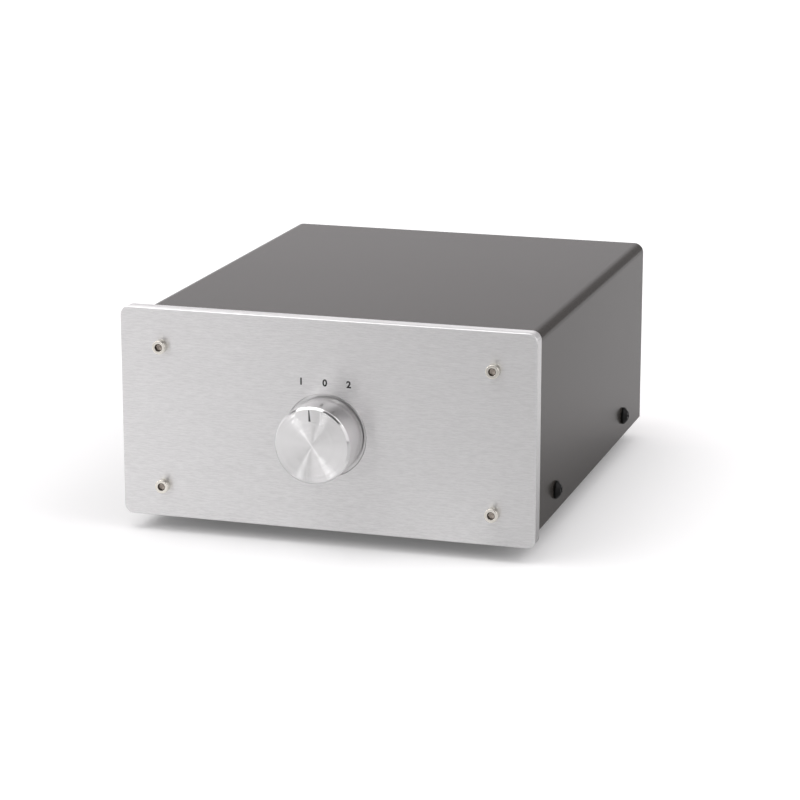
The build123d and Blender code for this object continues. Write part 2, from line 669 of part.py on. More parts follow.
# ---------------------------------------------------------------- rotary switch: what stands still
def switch_housing():
    """Threaded bushing and round die-cast housing in one, with the detent bores and the stops."""
    with BuildPart() as housing:
        discs(on_axis(WALL_BACK), [(0, 0)], BUSHING_R, WALL_BACK + BUSHING_FRONT)
        chamfer(housing.faces().sort_by(Axis.Y)[0].edges(), BUSHING_EDGE)
        discs(on_axis(HOUSING_END), [(0, 0)], HOUSING_R, HOUSING_L)
        peg = [(0, -LOCATING_PEG_OFFSET)]
        discs(on_axis(WALL_BACK), peg, LOCATING_PEG_R, LOCATING_PEG_L)
        stop_l = HOUSING_END - STOP_CAVITY_AT
        discs(on_axis(HOUSING_END), [(0, 0)], STOP_CAVITY_R, stop_l, Mode.SUBTRACT)
        star_l = HOUSING_L - HOUSING_FRONT_T
        discs(on_axis(HOUSING_END), [(0, 0)], STAR_CAVITY_R, star_l, Mode.SUBTRACT)
        bore_l = HOUSING_END + BUSHING_FRONT
        discs(on_axis(HOUSING_END), [(0, 0)], SHAFT_R + SHAFT_SLACK, bore_l, Mode.SUBTRACT)
        for side in (-1, 1):
            reach = STOP_ARM_HALF_ANGLE + TURN_ANGLE_EACH_WAY + STOP_SLACK_ANGLE
            near, far = side * reach, side * (reach + 2 * STOP_LUG_HALF_ANGLE)
            low, high = sorted((STOP_ARM_ANGLE + near, STOP_ARM_ANGLE + far))
            outer = (STOP_CAVITY_R + HOUSING_R) / 2
            ring_piece(on_axis(HOUSING_END), STOP_LUG_IN, outer, low, high, stop_l)
        with BuildSketch(Plane.XY.offset(SWITCH_Z)):
            with Locations((0, FRONT_Y + BALL_DEPTH)):
                Circle(BALL_R + BALL_SLACK)
        extrude(amount=BALL_BORE_END, both=True, mode=Mode.SUBTRACT)
        ties = [(-SWITCH_TIE_OFFSET, 0), (SWITCH_TIE_OFFSET, 0)]
        tie_l = HOUSING_L / 2
        discs(on_axis(HOUSING_END), ties, M3_R + THREAD_SLACK, tie_l, Mode.SUBTRACT)
    return housing


def switch_rear_plate():
    with BuildPart() as plate:
        discs(on_axis(REAR_PLATE_END), [(0, 0)], HOUSING_R, REAR_PLATE_T)
        hole_r = SHAFT_R + SHAFT_SLACK
        discs(on_axis(REAR_PLATE_END), [(0, 0)], hole_r, REAR_PLATE_T, Mode.SUBTRACT)
        ties = [(-SWITCH_TIE_OFFSET, 0), (SWITCH_TIE_OFFSET, 0)]
        discs(on_axis(REAR_PLATE_END), ties, M3_R + SCREW_SLACK, REAR_PLATE_T, Mode.SUBTRACT)
    return plate


def switch_lock_washer():
    with BuildPart() as washer:
        with BuildSketch(on_axis(RECESS_DEPTH)):
            Circle(LOCK_WASHER_R)
            Circle(BUSHING_R + SCREW_SLACK, mode=Mode.SUBTRACT)
            with PolarLocations(LOCK_WASHER_R, LOCK_WASHER_TEETH):
                Rectangle(LOCK_WASHER_NOTCH_L, LOCK_WASHER_NOTCH_W, mode=Mode.SUBTRACT)
        extrude(amount=LOCK_WASHER_T)
    return washer


def switch_mounting_nut():
    with BuildPart() as nut:
        back = on_axis(RECESS_DEPTH - LOCK_WASHER_T)
        hexagons(back, [(0, 0)], BUSHING_NUT_AF, BUSHING_NUT_T)
        discs(back, [(0, 0)], BUSHING_R + THREAD_SLACK, BUSHING_NUT_T, Mode.SUBTRACT)
    return nut


def detent_balls():
    with BuildPart() as balls:
        with Locations(
            (0, FRONT_Y + BALL_DEPTH, SWITCH_Z - BALL_CENTRE_R),
            (0, FRONT_Y + BALL_DEPTH, SWITCH_Z + BALL_CENTRE_R),
        ):
            Sphere(BALL_R)
    return balls


def detent_springs():
    start = BALL_CENTRE_R + BALL_R + SPRING_WIRE_R + SPRING_END_GAP
    length = BALL_BORE_END - SPRING_WIRE_R - SPRING_END_GAP - start
    with BuildPart() as springs:
        for side in (-1, 1):
            with BuildLine() as coil:
                Helix(
                    SPRING_PITCH,
                    length,
                    SPRING_R,
                    center=(0, FRONT_Y + BALL_DEPTH, SWITCH_Z + side * start),
                    direction=(0, 0, side),
                )
            with BuildSketch(Plane(origin=coil.line @ 0, z_dir=coil.line % 0)):
                Circle(SPRING_WIRE_R)
            sweep(path=coil.line, is_frenet=True)
    return springs


def wafer_stators():
    with BuildPart() as stators:
        for depth, _ in WAFERS:
            with BuildSketch(on_axis(depth + WAFER_T)):
                Circle(WAFER_R)
                Circle(ROTOR_R + ROTOR_GAP, mode=Mode.SUBTRACT)
                with Locations((-SWITCH_TIE_OFFSET, 0), (SWITCH_TIE_OFFSET, 0)):
                    Circle(M3_R + SCREW_SLACK, mode=Mode.SUBTRACT)
            extrude(amount=WAFER_T)
    return stators


def wafer_terminals():
    """Spring contacts on the back of each wafer: a solder tag outside, a wiping tip inside."""
    with BuildPart() as terminals:
        for depth, twist in WAFERS:
            for row in (-1, 1):
                for angle in (COMMON_ANGLE, *THROW_ANGLES):
                    tip = COMMON_TIP_R if angle == COMMON_ANGLE else THROW_TIP_R
                    one_terminal(depth + WAFER_T, row * (angle - twist), tip)
    return terminals


def one_terminal(depth, angle, tip):
    turn = radians(angle)
    outward = Plane(
        origin=(0, FRONT_Y + depth, SWITCH_Z),
        x_dir=(cos(turn), 0, sin(turn)),
        z_dir=(-sin(turn), 0, cos(turn)),
    )
    with BuildSketch(outward) as outline:
        with BuildLine():
            Polyline(
                (TERMINAL_R, 0),
                (TERMINAL_STEP_OUT, 0),
                (TERMINAL_STEP_IN, TERMINAL_LIFT),
                (tip, TERMINAL_LIFT),
                (tip, TERMINAL_LIFT + TERMINAL_T),
                (TERMINAL_STEP_IN, TERMINAL_LIFT + TERMINAL_T),
                (TERMINAL_STEP_OUT, TERMINAL_T),
                (TERMINAL_R, TERMINAL_T),
                (TERMINAL_R, 0),
            )
        make_face()
    extrude(outline.sketch, amount=TERMINAL_W / 2, both=True)


def switch_tie_screws():
    ties = [(-SWITCH_TIE_OFFSET, 0), (SWITCH_TIE_OFFSET, 0)]
    with BuildPart() as screws:
        head_end = LAST_WAFER_END + M3_PAN_HEAD_H
        discs(on_axis(head_end), ties, M3_PAN_HEAD_R, M3_PAN_HEAD_H)
        tip = HOUSING_END - HOUSING_L / 2 + SWITCH_TIE_TIP_GAP
        discs(on_axis(LAST_WAFER_END), ties, M3_R, LAST_WAFER_END - tip)
    return screws


def switch_spacers():
    ties = [(-SWITCH_TIE_OFFSET, 0), (SWITCH_TIE_OFFSET, 0)]
    stretches = (
        (REAR_PLATE_END, WAFER_DEPTH),
        (WAFER_DEPTH + WAFER_T, WAFER_DEPTH + WAFER_PITCH),
    )
    with BuildPart() as spacers:
        for front, back in stretches:
            discs(on_axis(back), ties, SPACER_R, back - front)
            discs(on_axis(back), ties, M3_R + SCREW_SLACK, back - front, Mode.SUBTRACT)
    return spacers


# ---------------------------------------------------------------- binding posts
def post_studs():
    """Turned brass: a shank through the wall, a shoulder, and a threaded end with a plug socket."""
    with BuildPart() as studs:
        discs(facing(SHOULDER_AT), ALL_POSTS, STUD_SHANK_R, COLLAR_T + STUD_TAIL)
        discs(facing(STUD_BASE), ALL_POSTS, STUD_SHOULDER_R, STUD_SHOULDER_T)
        discs(facing(STUD_END), ALL_POSTS, STUD_R, STUD_END - STUD_BASE)
        chamfer(studs.faces().group_by(Axis.Y)[-1].edges(), STUD_END_EDGE)
        discs(facing(STUD_END), ALL_POSTS, SOCKET_BORE_R, SOCKET_BORE_L, Mode.SUBTRACT)
        with BuildSketch(Plane.XY):
            with Locations(*[(x, FRONT_Y + STUD_BASE + WIRE_HOLE_OFFSET) for x, _ in RED_POSTS]):
                Circle(WIRE_HOLE_R)
        extrude(amount=COVER_TOP_Z, mode=Mode.SUBTRACT)
    return studs


def post_collars(spots):
    """Insulating collars on the outside of the rear wall, each with a spigot in its hole."""
    with BuildPart() as collars:
        discs(facing(SHOULDER_AT), spots, COLLAR_R, COLLAR_T)
        chamfer(collars.faces().group_by(Axis.Y)[-1].edges(), COLLAR_EDGE)
        discs(facing(REAR_FACE), spots, COLLAR_SPIGOT_R, PAN_T)
        bore_r = STUD_SHANK_R + COLLAR_SLACK
        discs(facing(SHOULDER_AT), spots, bore_r, COLLAR_T + PAN_T, Mode.SUBTRACT)
    return collars


def post_inner_bushes():
    with BuildPart() as bushes:
        discs(facing(REAR_INNER), ALL_POSTS, BUSH_R, BUSH_T)
        bore_r = STUD_SHANK_R + COLLAR_SLACK
        discs(facing(REAR_INNER), ALL_POSTS, bore_r, BUSH_T, Mode.SUBTRACT)
    return bushes


def post_nuts():
    """One nut clamps the post to the wall, and a thinner one holds the solder lug on it."""
    with BuildPart() as nuts:
        for back, length in ((NUT_AT, POST_NUT_T), (END_NUT_AT, POST_END_NUT_T)):
            hexagons(facing(back), ALL_POSTS, POST_NUT_AF, length)
            bore_r = STUD_SHANK_R + THREAD_SLACK
            discs(facing(back), ALL_POSTS, bore_r, length, Mode.SUBTRACT)
    return nuts


def post_solder_lugs():
    with BuildPart() as lugs:
        with BuildSketch(facing(LUG_AT)):
            for post in POSTS:
                with Locations((post["x"], post["z"])):
                    Circle(LUG_R)
                towards_middle = Align.MAX if post["row"] > 0 else Align.MIN
                with Locations((post["x"], post["z"])):
                    Rectangle(LUG_W, LUG_REACH, align=(Align.CENTER, towards_middle))
            with Locations(*ALL_POSTS):
                Circle(STUD_SHANK_R + COLLAR_SLACK, mode=Mode.SUBTRACT)
        extrude(amount=LUG_T)
    return lugs


def clamp_ring(spot):
    """Brass ring that presses on the wire. Its lip snaps into the cap, which turns around it."""
    with BuildPart() as ring:
        discs(facing(RING_AT + RING_T), [spot], RING_R, RING_T)
        stem_end = RING_AT + RING_T + RING_STEM_L
        discs(facing(stem_end), [spot], RING_STEM_R, RING_STEM_L)
        discs(facing(stem_end), [spot], RING_LIP_R, RING_LIP_T)
        length = RING_T + RING_STEM_L
        discs(facing(stem_end), [spot], STUD_R + CAP_SLACK, length, Mode.SUBTRACT)
    return ring


def post_cap(spot):
    """Fluted screw cap, with a seat for the ring's lip and a bore for the stud right through it."""
    lip_front = RING_AT + RING_T + RING_STEM_L - RING_LIP_T - CAP_GAP
    lip_end = RING_AT + RING_T + RING_STEM_L + CAP_GAP
    with BuildPart() as cap:
        discs(facing(CAP_END), [spot], CAP_R, CAP_L)
        chamfer(cap.faces().sort_by(Axis.Y)[-1].edges(), CAP_END_EDGE)
        chamfer(cap.faces().sort_by(Axis.Y)[0].edges(), CAP_MOUTH_EDGE)
        with BuildSketch(facing(CAP_END)):
            with Locations(spot):
                with PolarLocations(CAP_FLUTE_CENTRE_R, CAP_FLUTES):
                    Circle(CAP_FLUTE_R)
        extrude(amount=CAP_L, mode=Mode.SUBTRACT)
        discs(facing(CAP_END), [spot], STUD_R + CAP_SLACK, CAP_L, Mode.SUBTRACT)
        discs(facing(lip_end), [spot], RING_STEM_R + CAP_GAP, lip_end - CAP_AT, Mode.SUBTRACT)
        groove_r = RING_LIP_R + CAP_GAP
        discs(facing(lip_end), [spot], groove_r, lip_end - lip_front, Mode.SUBTRACT)
    return cap


# ---------------------------------------------------------------- inner wiring
def wire_route(post):
    """From a wafer's terminal back along the loom to the post's solder lug."""
    wafer_depth = WAFERS[post["wafer"]][0] + WAFER_T + TERMINAL_T
    across, up = polar(WIRE_TAG_R, post["angle"])
    lane = (post["column"] - MIDDLE_LANE) * LANE_PITCH_X
    lane_z = SWITCH_Z + post["row"] * LANE_PITCH_Z / 2
    lug_z = post["z"] - post["row"] * WIRE_LUG_OFFSET
    lug_depth = LUG_AT - LUG_T
    return [
        (across, FRONT_Y + wafer_depth, SWITCH_Z + up),
        (across, FRONT_Y + LAST_WAFER_END + SWITCH_TAIL_L, SWITCH_Z + up),
        (lane, FRONT_Y + LANES_START, lane_z),
        (lane, FRONT_Y + LANES_END, lane_z),
        (post["x"], FRONT_Y + lug_depth - LUG_TAIL_L, lug_z),
        (post["x"], FRONT_Y + lug_depth, lug_z),
    ]


def bend_radii(route):
    """The largest arcs that the straight runs leave room for, one for each corner."""
    points = [Vector(*point) for point in route]
    radii = []
    for before, corner, after in zip(points, points[1:], points[2:]):
        one, two = corner - before, after - corner
        half_turn = radians(one.get_angle(two)) / 2
        radii.append(BEND_SHARE * min(one.length, two.length) / tan(half_turn))
    return radii


def wires(row):
    with BuildPart() as loom:
        for post in POSTS:
            if post["row"] != row:
                continue
            route = wire_route(post)
            with BuildLine() as path:
                FilletPolyline(*route, radius=bend_radii(route))
            with BuildSketch(facing(route[0][1] - FRONT_Y)):
                with Locations((route[0][0], route[0][2])):
                    Circle(WIRE_R)
            sweep(path=path.wires()[0])
    return loom


def cable_ties():
    half_w = MIDDLE_LANE * LANE_PITCH_X + WIRE_R + CABLE_TIE_SLACK
    half_h = LANE_PITCH_Z / 2 + WIRE_R + CABLE_TIE_SLACK
    corner = WIRE_R + CABLE_TIE_SLACK
    outer_w, outer_h = 2 * (half_w + CABLE_TIE_T), 2 * (half_h + CABLE_TIE_T)
    with BuildPart() as ties:
        for depth in CABLE_TIE_DEPTHS:
            with BuildSketch(on_axis(depth + CABLE_TIE_W / 2)):
                RectangleRounded(outer_w, outer_h, corner + CABLE_TIE_T)
                with Locations((half_w / 2, half_h)):
                    Rectangle(CABLE_TIE_HEAD, CABLE_TIE_HEAD, align=(Align.CENTER, Align.MIN))
                RectangleRounded(2 * half_w, 2 * half_h, corner, mode=Mode.SUBTRACT)
            extrude(amount=CABLE_TIE_W)
    return ties


# ---------------------------------------------------------------- every piece, one file each
PIECES = {
    "front_panel": front_panel,
    "front_panel_screws": front_panel_screws,
    "front_panel_washers": front_panel_washers,
    "front_panel_nuts": front_panel_nuts,
    "chassis_pan": chassis_pan,
    "top_cover": top_cover,
    "cover_screws": cover_screws,
    "rubber_feet": rubber_feet,
    "foot_screws": foot_screws,
    "foot_nuts": foot_nuts,
    "control_knob": control_knob,
    "knob_grub_screw": knob_grub_screw,
    "switch_shaft": switch_shaft,
    "shaft_retaining_clip": shaft_retaining_clip,
    "star_wheel": star_wheel,
    "wafer_rotors": wafer_rotors,
    "rotor_blades": rotor_blades,
    "switch_housing": switch_housing,
    "switch_rear_plate": switch_rear_plate,
    "switch_lock_washer": switch_lock_washer,
    "switch_mounting_nut": switch_mounting_nut,
    "detent_balls": detent_balls,
    "detent_springs": detent_springs,
    "wafer_stators": wafer_stators,
    "wafer_terminals": wafer_terminals,
    "switch_tie_screws": switch_tie_screws,
    "switch_spacers": switch_spacers,
    "post_studs": post_studs,
    "post_inner_bushes": post_inner_bushes,
    "post_nuts": post_nuts,
    "post_solder_lugs": post_solder_lugs,
    "cable_ties": cable_ties,
}

os.makedirs("parts", exist_ok=True)
for name, build in PIECES.items():
    save(name, build())
for name, spots in (("post_collars_red", RED_POSTS), ("post_collars_black", BLACK_POSTS)):
    save(name, post_collars(spots))
for name, row in (("red_wires", 1), ("black_wires", -1)):
    save(name, wires(row))
for post in POSTS:
    spot = (post["x"], post["z"])
    save(f"{post['name']}_ring", clamp_ring(spot))
    save(f"{post['name']}_cap", post_cap(spot))
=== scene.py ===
import json
from math import atan2, cos, pi, radians, sin

import bmesh
import bpy
from mathutils import Matrix, Vector


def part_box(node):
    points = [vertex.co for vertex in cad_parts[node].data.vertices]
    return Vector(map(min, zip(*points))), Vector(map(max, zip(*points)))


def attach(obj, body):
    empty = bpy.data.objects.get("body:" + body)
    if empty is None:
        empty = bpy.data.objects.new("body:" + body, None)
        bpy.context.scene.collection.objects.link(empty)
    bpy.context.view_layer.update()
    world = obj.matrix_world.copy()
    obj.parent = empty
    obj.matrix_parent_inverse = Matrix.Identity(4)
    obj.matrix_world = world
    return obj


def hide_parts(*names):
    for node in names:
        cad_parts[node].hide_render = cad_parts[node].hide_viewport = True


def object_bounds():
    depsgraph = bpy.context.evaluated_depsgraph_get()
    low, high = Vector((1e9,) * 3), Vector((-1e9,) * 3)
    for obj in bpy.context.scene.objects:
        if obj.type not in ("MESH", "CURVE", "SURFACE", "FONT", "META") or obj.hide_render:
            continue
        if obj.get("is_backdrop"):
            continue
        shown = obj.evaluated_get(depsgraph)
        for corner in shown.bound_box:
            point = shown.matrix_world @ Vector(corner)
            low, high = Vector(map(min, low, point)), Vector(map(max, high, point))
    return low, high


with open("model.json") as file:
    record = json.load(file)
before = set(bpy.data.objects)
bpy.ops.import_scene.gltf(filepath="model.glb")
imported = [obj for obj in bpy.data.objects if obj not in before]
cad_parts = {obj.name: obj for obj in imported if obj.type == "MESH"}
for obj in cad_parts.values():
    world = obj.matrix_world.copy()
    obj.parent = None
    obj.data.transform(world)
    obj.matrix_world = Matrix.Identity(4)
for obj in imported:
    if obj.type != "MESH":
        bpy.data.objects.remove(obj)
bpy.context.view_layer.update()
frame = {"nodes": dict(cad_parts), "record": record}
bpy.ops.object.select_all(action="DESELECT")

# Places read from the frame, in metres. The front faces -Y and Z is up.
MM = 0.001
panel_low, panel_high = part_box("front_panel")
knob_low, knob_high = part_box("control_knob")
pan_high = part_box("chassis_pan")[1]
cover_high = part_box("top_cover")[1]
screws_low, screws_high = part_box("front_panel_screws")
side_low, side_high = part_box("cover_screws")
feet_low, feet_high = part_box("rubber_feet")
grub_low, grub_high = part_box("knob_grub_screw")
FRONT = panel_low.y
REAR = pan_high.y
PANEL_MID = (panel_low.z + panel_high.z) / 2
KNOB_Z = (knob_low.z + knob_high.z) / 2
KNOB_FACE = knob_low.y
FORWARD = Vector((0, -1, 0))
BACKWARD = Vector((0, 1, 0))
UPWARD = Vector((0, 0, 1))


# ---------------------------------------------------------------- camera
lens = bpy.data.cameras.new("camera")
lens.lens = 126.41
lens.clip_start = 0.05
lens.clip_end = 50
camera = bpy.data.objects.new("camera", lens)
bpy.context.scene.collection.objects.link(camera)
# It stands to the right and above, tilted down and turned to the left by these degrees.
TILT = 14.4536
TURN = 17.1278
camera.location = (0.33935, FRONT - 1.00201, PANEL_MID + 0.28310)
camera.rotation_euler = (radians(90 - TILT), 0, radians(TURN))
bpy.context.scene.camera = camera


# ---------------------------------------------------------------- materials: the tools
# Outputs of some nodes, by their place in the node.
GENERATED, OBJECT = 0, 3
MIXED_VECTOR, MIXED_COLOUR = 1, 2
CAMERA_RAY, GLOSSY_RAY, TRANSMISSION_RAY = 0, 3, 6


class Value:
    """One output in a tree of nodes. Arithmetic on it adds Math nodes."""

    def __init__(self, owner, socket):
        self.owner = owner
        self.socket = socket

    def math(self, operation, *terms):
        return self.owner.add("Math", dict(enumerate(terms)), operation=operation)[0]

    def larger(self, other):
        return self.math("MAXIMUM", self, other)

    def __add__(self, other):
        return self.math("ADD", self, other)

    def __sub__(self, other):
        return self.math("SUBTRACT", self, other)

    def __rsub__(self, other):
        return self.math("SUBTRACT", other, self)

    def __mul__(self, other):
        return self.math("MULTIPLY", self, other)

    def __truediv__(self, other):
        return self.math("DIVIDE", self, other)

    def __pow__(self, other):
        return self.math("POWER", self, other)

    def __abs__(self):
        return self.math("ABSOLUTE", self)

    def ramp(self, low, high, low_value=0.0, high_value=1.0):
        """Goes smoothly from one value at low to another at high."""
        values = {"Value": self, "From Min": low, "From Max": high}
        values.update({"To Min": low_value, "To Max": high_value})
        return self.owner.add("MapRange", values, interpolation_type="SMOOTHSTEP")[0]


class Tree:
    """The nodes of a finish or of the room, and the place or direction that they start from."""

    def __init__(self, owner, coordinates):
        owner.use_nodes = True
        self.tree = owner.node_tree
        self.tree.nodes.clear()
        self.place = self.add("TexCoord")[coordinates]
        self.x, self.y, self.z = self.add("SeparateXYZ", {0: self.place})

    def add(self, kind, values=None, **settings):
        """Adds a node: its settings first, then its sockets' values or links."""
        node = self.tree.nodes.new("ShaderNode" + kind)
        for name, setting in settings.items():
            setattr(node, name, setting)
        for name, value in (values or {}).items():
            if isinstance(name, int):
                socket = node.inputs[name]
            else:
                open_ones = [s for s in node.inputs if s.enabled]
                socket = next(s for s in open_ones if name in (s.name, s.identifier))
            if isinstance(value, Value):
                self.tree.links.new(value.socket, socket)
            else:
                socket.default_value = value
        return [Value(self, socket) for socket in node.outputs]

    def noise(self, scale, detail=2.0, roughness=0.5):
        """Noise with this many features in a metre, which may differ along X, Y and Z."""
        stretch = (scale, scale, scale) if isinstance(scale, (int, float)) else scale
        stretched = self.add("VectorMath", {0: self.place, 1: stretch}, operation="MULTIPLY")[0]
        values = {"Vector": stretched, "Scale": 1.0, "Detail": detail, "Roughness": roughness}
        return self.add("TexNoise", values)[0]

    def line_noise(self, along, scale, detail=2.0):
        """Noise that changes only with one value, such as a distance from an axis."""
        values = {"W": along * scale, "Scale": 1.0, "Detail": detail}
        return self.add("TexNoise", values, noise_dimensions="1D")[0]

    def mix(self, factor, one, other):
        values = {"Factor_Float": factor, "A_Color": one, "B_Color": other}
        return self.add("Mix", values, data_type="RGBA")[MIXED_COLOUR]

    def blend_normals(self, factor, one, other):
        values = {"Factor_Float": factor, "A_Vector": one, "B_Vector": other}
        mixed = self.add("Mix", values, data_type="VECTOR")[MIXED_VECTOR]
        return self.add("VectorMath", {0: mixed}, operation="NORMALIZE")[0]

    def bump(self, height, depth):
        """Relief of this depth in metres."""
        return self.add("Bump", {"Height": height, "Distance": depth, "Strength": 1.0})[0]


class Finish(Tree):
    """A material built from nodes on the object's own coordinates."""

    def __init__(self, name):
        self.material = bpy.data.materials.new(name)
        super().__init__(self.material, OBJECT)

    def shade(self, **values):
        """Ends the tree in a Principled shader with these values."""
        named = {}
        for name, value in values.items():
            named[name.replace("_", " ").title().replace("Ior", "IOR")] = value
        shader = self.add("BsdfPrincipled", named)[0]
        self.add("OutputMaterial", {"Surface": shader})
        return self.material


def grey(level, warmth=0.0):
    """A grey colour, with this share more red and less blue."""
    return (level * (1 + warmth), level, level * (1 - warmth), 1.0)


# ---------------------------------------------------------------- materials: metals
def brushed_aluminium():
    """Anodised plate, brushed from side to side in short fine strokes."""
    f = Finish("brushed_aluminium")
    strokes = f.noise((240, 2600, 2600), 2.0, 0.6)
    hairs = f.noise((700, 8000, 8000), 2.0, 0.6)
    bands = f.noise((60, 900, 900), 2.0)
    cloud = f.noise(25, 3.0)
    grain = strokes * 0.5 + hairs * 0.4 + bands * 0.1
    face_tone = f.mix(grain.ramp(0.35, 0.65), grey(0.775, 0.003), grey(0.885, 0.002))
    # The two ends are only sawn and dressed; their colour is made darker than the face's as painted
    # shade.
    shaded_ends = (abs(f.x) - panel_high.x + 0.25 * MM).ramp(0.0, 0.1 * MM)
    return f.shade(
        base_color=f.mix(shaded_ends * 0.28, face_tone, grey(0.0)),
        metallic=1.0,
        roughness=grain.ramp(0.3, 0.7, 0.38, 0.30) + cloud * 0.04,
        anisotropic=0.85,
        anisotropic_rotation=0.25,
        normal=f.bump(grain, 7e-6),
    )


def turned_aluminium():
    """The knob: satin on its side, bright on its rim, and spun in fine rings on its face."""
    f = Finish("turned_aluminium")
    across = f.z - KNOB_Z
    out = (f.x * f.x + across * across) ** 0.5
    on_face = (KNOB_FACE + 0.05 * MM - f.y).ramp(0.0, 0.03 * MM)
    on_side = (out - knob_high.x + 0.05 * MM).ramp(0.0, 0.03 * MM)
    # Each ring leans in or out by its own small angle, which spreads light along the radius.
    lean = (f.line_noise(out, 24000.0, 0.0) - 0.5) * 1.1
    share = lean / out
    leaned = f.add("CombineXYZ", {0: f.x * share, 1: -1.0, 2: across * share})[0]
    to_world = {"vector_type": "NORMAL", "convert_from": "OBJECT", "convert_to": "WORLD"}
    spun = f.add("VectorTransform", {0: leaned}, **to_world)[0]
    turns = f.line_noise(f.y, 9000.0, 2.0)
    plain = f.bump(turns * on_side, 3e-6)
    faint = f.noise(60, 3.0)
    face_tone = f.mix(faint, grey(0.88, 0.003), grey(0.93, 0.002))
    side_tone = f.mix(faint, (0.88, 0.865, 0.87, 1), (0.93, 0.92, 0.925, 1))
    return f.shade(
        base_color=f.mix(on_side, f.mix(on_face, grey(0.76), face_tone), side_tone),
        metallic=1.0,
        roughness=on_face * 0.03 + on_side * 0.12 + 0.10 + faint * 0.03,
        normal=f.blend_normals(on_face, plain, spun),
    )


def plated(name, dark, light, roughness, scratch=0.10):
    """Turned and plated metal, with faint machining lines round an axis along Y."""
    f = Finish(name)
    turns = f.line_noise(f.y, 6000.0, 2.0)
    cloud = f.noise(350, 3.0)
    return f.shade(
        base_color=f.mix(cloud, dark, light),
        metallic=1.0,
        roughness=cloud * 0.12 + turns * scratch + (roughness - 0.08),
        normal=f.bump(turns * 0.5 + cloud * 0.5, 3e-6),
    )


def bright_steel(name, level, warmth, roughness):
    """Plated or drawn steel, slightly mottled."""
    f = Finish(name)
    spangle = f.noise(500, 2.0)
    fine = f.noise(4000, 2.0)
    return f.shade(
        base_color=f.mix(spangle, grey(level * 0.86, warmth), grey(level, warmth)),
        metallic=1.0,
        roughness=spangle * 0.14 + (roughness - 0.07),
        normal=f.bump(fine, 2e-6),
    )


def cast_alloy():
    """Die-cast alloy as it leaves the mould, with a grainy skin."""
    f = Finish("cast_alloy")
    skin = f.noise(2200, 3.0)
    flow = f.noise(120, 3.0)
    return f.shade(
        base_color=f.mix(flow, grey(0.42, 0.01), grey(0.55, 0.0)),
        metallic=1.0,
        roughness=skin * 0.2 + 0.42,
        normal=f.bump(skin, 12e-6),
    )


def shaded_socket_metal():
    """The inside of a panel screw's socket: broached sides painted near black as painted shade, and a
    brighter drilled floor.
    """
    f = Finish("shaded_socket_metal")
    skin = f.noise(3000, 2.0)
    floor_depth = 1.82 * MM
    on_floor = (f.y - FRONT + floor_depth).ramp(0.0, 0.08 * MM)
    # Painted shade: the socket's sides are near black, where the recess lies in shadow.
    painted_shade_walls = f.mix(skin, grey(0.06, 0.15), grey(0.12, 0.15))
    drilled = f.mix(skin, grey(0.42, 0.14), grey(0.56, 0.12))
    return f.shade(
        base_color=f.mix(on_floor, painted_shade_walls, drilled),
        metallic=0.8,
        roughness=skin * 0.2 + 0.35,
        normal=f.bump(skin, 4e-6),
    )


def black_oxide():
    """Blackened steel: almost black, with a faint uneven skin and hardly any shine."""
    f = Finish("black_oxide")
    skin = f.noise(1500, 3.0)
    return f.shade(
        base_color=f.mix(skin, grey(0.004), grey(0.010)),
        roughness=skin * 0.16 + 0.28,
        normal=f.bump(skin, 4e-6),
        specular_ior_level=0.12,
    )


# ---------------------------------------------------------------- materials: paint, plastics, rest
def case_paint(name, level):
    """Baked satin paint, very dark warm grey, with a faint pebbled skin."""
    f = Finish(name)
    pebble = f.noise(1300, 2.0, 0.6)
    grit = f.noise(5200, 2.0)
    drift = f.noise(14, 2.0)
    speck = pebble * 0.6 + grit * 0.4
    colour = f.mix(speck.ramp(0.3, 0.72), grey(level * 0.85, 0.12), grey(level * 1.15, 0.10))
    return f.shade(
        base_color=colour,
        roughness=speck.ramp(0.25, 0.75, 0.22, 0.16) + drift * 0.02,
        normal=f.bump(speck, 9e-6),
        specular_ior_level=0.075,
        specular_tint=(1.0, 0.90, 0.96, 1.0),
    )


def moulded(name, dark, light, roughness=0.22):
    """Moulded plastic with faint flow marks and a fine skin."""
    f = Finish(name)
    flow = f.noise((300, 90, 300), 3.0)
    skin = f.noise(2600, 2.0)
    return f.shade(
        base_color=f.mix(flow, dark, light),
        roughness=flow * 0.12 + skin * 0.06 + (roughness - 0.06),
        normal=f.bump(skin * 0.5 + flow * 0.5, 4e-6),
    )


def laminate():
    """Phenolic paper board: brown, with a faint fibre and resin pattern."""
    f = Finish("laminate")
    fibre = f.noise((260, 3000, 900), 4.0, 0.65)
    cloud = f.noise(180, 3.0)
    tone = fibre * 0.6 + cloud * 0.4
    return f.shade(
        base_color=f.mix(tone.ramp(0.3, 0.7), (0.20, 0.075, 0.022, 1), (0.36, 0.16, 0.055, 1)),
        roughness=fibre * 0.15 + 0.35,
        normal=f.bump(fibre, 6e-6),
    )


def foot_rubber():
    """Dull rubber with a little dust on it."""
    f = Finish("foot_rubber")
    skin = f.noise(2400, 3.0)
    dust = f.noise(260, 4.0, 0.7)
    return f.shade(
        base_color=f.mix(dust.ramp(0.45, 0.8), grey(0.016), grey(0.05, 0.05)),
        roughness=skin * 0.15 + 0.66,
        normal=f.bump(skin, 18e-6),
    )


def index_paint():
    """Dark enamel in the knob's index groove."""
    f = Finish("index_paint")
    skin = f.noise(5000, 2.0)
    return f.shade(
        base_color=f.mix(skin, grey(0.07), grey(0.12)),
        roughness=skin * 0.2 + 0.35,
        normal=f.bump(skin, 4e-6),
    )


def printed_ink():
    """Screen printing: flat black with slightly ragged cover."""
    f = Finish("printed_ink")
    cover = f.noise(9000, 2.0)
    return f.shade(
        base_color=f.mix(cover.ramp(0.55, 0.75), grey(0.010), grey(0.045)),
        roughness=cover * 0.2 + 0.35,
        normal=f.bump(cover, 3e-6),
    )


